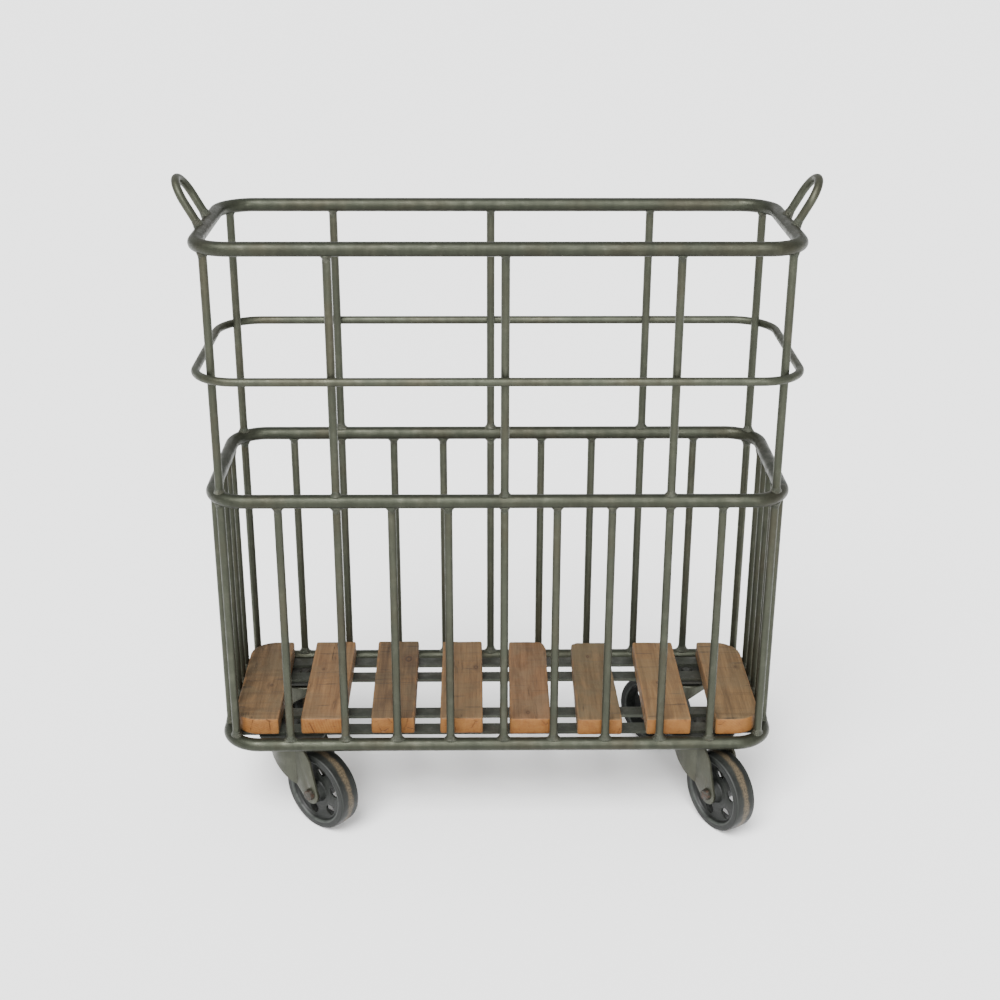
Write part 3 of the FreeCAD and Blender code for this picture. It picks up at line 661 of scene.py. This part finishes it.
def weld_foot():
    """Flared weld where an upright stands on a rim that runs along X; the rim's centre is the origin."""
    bpy.ops.object.select_all(action="DESELECT")
    bpy.ops.mesh.primitive_cylinder_add(vertices=20, radius=rod_r + 0.15 * MM, depth=weld_h,
                                        end_fill_type="NGON", location=(0, 0, 13.5 * MM))
    foot = settle(bpy.context.object)
    base = 5.5 * MM
    # rings from the rim up: height, half width along the rim and half width across it, in mm
    rings = ((5.5, 13.5, 8.4), (9.6, 12.0, 7.9), (10.8, 9.6, 7.5), (13.0, 7.6, 6.9), (16.5, 6.5, 6.4),
             (21.5, 5.6, 5.6))
    # the plain cylinder is divided into rings, and each ring is spread to its own width
    bpy.ops.object.mode_set(mode="EDIT")
    bpy.ops.mesh.select_all(action="SELECT")
    for level in range(1, len(rings) - 1):
        bpy.ops.mesh.select_all(action="SELECT")
        bpy.ops.mesh.bisect(plane_co=(0, 0, base + weld_h * level / (len(rings) - 1)), plane_no=(0, 0, 1))
    bpy.ops.object.mode_set(mode="OBJECT")
    for v in foot.data.vertices:
        level = round((v.co.z - base) / weld_h * (len(rings) - 1))
        height, wide, deep = rings[level]
        r = math.hypot(v.co.x, v.co.y)
        v.co = Vector((v.co.x / r * wide * MM, v.co.y / r * deep * MM, height * MM))
    finish_with(foot, "SUBSURF", levels=1, render_levels=1)
    return smooth(foot, 60)


foot = weld_foot()


def weld_at(x, y, z, heading, upside_down, size):
    """One weld in its place, stretched along the rim."""
    turn = Matrix.Rotation(heading, 4, "Z")
    flip = Matrix.Rotation(math.pi, 4, "X") if upside_down else Matrix.Identity(4)
    stretch = Matrix.Diagonal((size, 1.0, 1.0, 1.0))
    return copied(foot, Matrix.Translation((x, y, z)) @ turn @ flip @ stretch)


def upright_places(node):
    """Middle of each separate upright in a CAD node, in plan."""
    mesh = nodes[node].data
    spots = []
    for v in mesh.vertices:
        for spot in spots:
            if math.hypot(v.co.x - spot[0], v.co.y - spot[1]) < 3 * rod_r:
                spot[2].append(v.co)
                break
        else:
            spots.append([v.co.x, v.co.y, [v.co]])
    places = []
    for spot in spots:
        xs = [c.x for c in spot[2]]
        ys = [c.y for c in spot[2]]
        places.append(((min(xs) + max(xs)) / 2, (min(ys) + max(ys)) / 2))
    return places


def heading_at(x, y):
    """Direction of the rim under a place, in plan."""
    sx, sy = half_len - bend_r, half_dep - bend_r
    if abs(x) > sx and abs(y) > sy:
        return math.atan2(y - math.copysign(sy, y), x - math.copysign(sx, x)) + math.pi / 2
    return math.pi / 2 if abs(x) > sx else 0.0


low_bars = []
for node in ("front_bars", "back_bars", "left_bars", "right_bars"):
    low_bars += upright_places(node)
high_posts = []
for node in ("front_posts", "back_posts", "front_left_post", "front_right_post", "back_left_post",
             "back_right_post"):
    high_posts += upright_places(node)


def finished_welds(made, name, lumps):
    """Welds joined into one lumpy piece on the rack."""
    piece = gathered(made, name)
    ripple(piece, weld_lumps, lumps)
    smooth(piece, 50)
    piece.data.materials.clear()
    piece.data.materials.append(weld_steel)
    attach(piece, "rack")


def weld_row(name, places, z, upside_down, spread):
    """A weld at each upright that meets a rim."""
    made = []
    for x, y in places:
        size = spread * lay.uniform(0.9, 1.12)
        made.append(weld_at(x, y, z, heading_at(x, y), upside_down, size))
    finished_welds(made, name, 0.4 * MM)


weld_row("welds_bottom_rim", low_bars, bottom_z, False, 1.0)
weld_row("welds_under_middle_rim", low_bars, middle_z, True, 0.8)
weld_row("welds_on_middle_rim", high_posts, middle_z, False, 0.85)
weld_row("welds_under_top_rim", high_posts, top_z, True, 0.68)

# feet of the two handles, which lean outward
handle_lean = math.radians(29)
handle_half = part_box("handle_left")[1].y - rod_r
handle_feet = []
for end in (-1, 1):
    for side in (-1, 1):
        lean = Matrix.Rotation(end * handle_lean, 4, "Y")
        place = Matrix.Translation((end * half_len, side * handle_half, top_z))
        handle_feet.append(copied(foot, place @ lean @ Matrix.Rotation(math.pi / 2, 4, "Z")))
finished_welds(handle_feet, "welds_handles", 0.5 * MM)

bpy.data.objects.remove(foot)

# ---- casters --------------------------------------------------------------------------------------
for name in casters:
    swivel = name + "_swivel"
    roller = name + "_roller"
    joint = joint_at[name + "_wheel_spin"]
    low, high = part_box(name + "_wheel")
    # Lip: pale colour for the painted highlight round the lip and for the worn tread shoulders
    wheel_look = material(name + "_worn_wheel", wheel_wear_and_lip_highlight, {
        "Base": rgba(0.0055, 0.0062, 0.0055), "Dust": rgba(0.020, 0.022, 0.019),
        "Worn": rgba(0.078, 0.060, 0.037),
        "Lip": rgba(0.034, 0.038, 0.034), "Tread Radius": (high.z - low.z) / 2, "Lip Radius": wheel_lip_r,
        "Half Width": wheel_half}, bump=0.0002, Specular_IOR_Level=0.22, centre=(low + high) / 2,
        turn=math.atan2(-joint["axis"][0], joint["axis"][1]))
    for piece_name, width, body, finish, slot_name in (
        ("wheel", 0.9 * MM, roller, wheel_look, "wheel_black"),
        ("fork", 1.1 * MM, swivel, fork_steel, "fork_steel"),
        ("axle_bolt", 0.5 * MM, swivel, axle_steel, "axle_steel"),
        ("axle_nut", 0.5 * MM, swivel, axle_steel, "axle_steel"),
        ("plate", 0.5 * MM, "rack", plate_steel, "plate_steel"),
    ):
        node = name + "_" + piece_name
        piece = softened(node, node + "_finished", width)
        piece.data.materials.clear()
        piece.data.materials.append(finish)
        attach(piece, body)

# ---- CAD pieces that keep their shape -------------------------------------------------------------
kept = {
    "rim_steel": rim_steel, "rod_steel": rod_steel, "rail_steel": rail_steel, "screw_zinc": zinc,
    "ball_steel": ball_steel, "plate_steel": plate_steel, "fork_steel": fork_steel, "axle_steel": axle_steel,
    "wheel_black": wheel_black, "bush": zinc,
}
for part in frame["record"]["subparts"]:
    if part["material_slot"] in kept:
        data = nodes[part["node"]].data
        data.materials.clear()
        data.materials.append(kept[part["material_slot"]])

# ---- floor, light and camera ----------------------------------------------------------------------
bpy.ops.object.select_all(action="DESELECT")
bpy.ops.mesh.primitive_plane_add(size=80, location=(0, 0, 0))
floor = bpy.context.object
floor.name = "studio_floor"
paint = bpy.data.materials.new("studio_floor")
paint.use_nodes = True
paint.node_tree.nodes["Principled BSDF"].inputs["Base Color"].default_value = rgba(0.96, 0.965, 0.965)
paint.node_tree.nodes["Principled BSDF"].inputs["Roughness"].default_value = 0.9
floor.data.materials.append(paint)
floor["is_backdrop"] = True

sky = bpy.data.worlds.new("studio")
bpy.context.scene.world = sky
sky.use_nodes = True
sky.node_tree.nodes["Background"].inputs[0].default_value = rgba(1.0, 1.0, 1.0)
sky.node_tree.nodes["Background"].inputs[1].default_value = 1.0


def sun(name, azimuth, elevation, strength, spread):
    """A soft distant light from an azimuth and an elevation in degrees."""
    lamp = bpy.data.lights.new(name, "SUN")
    lamp.energy = strength
    lamp.angle = math.radians(spread)
    obj = bpy.data.objects.new(name, lamp)
    bpy.context.scene.collection.objects.link(obj)
    a, e = math.radians(azimuth), math.radians(elevation)
    towards = Vector((math.sin(a) * math.cos(e), -math.cos(a) * math.cos(e), math.sin(e)))
    obj.rotation_mode = "QUATERNION"
    obj.rotation_quaternion = towards.to_track_quat("Z", "Y")


sun("key", -22, 52, 7.0, 35)
sun("front", 6, 18, 2.6, 25)

pitch = math.radians(22.70)
yaw = math.radians(0.797)
roll = math.radians(0.171)
lens = bpy.data.cameras.new("camera")
lens.sensor_width = 36.0
lens.lens = 55.97
camera = bpy.data.objects.new("camera", lens)
bpy.context.scene.collection.objects.link(camera)
camera.location = (-0.0259, -2.1679, 1.4002)
ahead = Vector((math.sin(yaw) * math.cos(pitch), math.cos(yaw) * math.cos(pitch), -math.sin(pitch)))
camera.rotation_mode = "QUATERNION"
camera.rotation_quaternion = ahead.to_track_quat("-Z", "Y") @ Quaternion((0, 0, 1), roll)
bpy.context.scene.camera = camera

low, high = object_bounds()
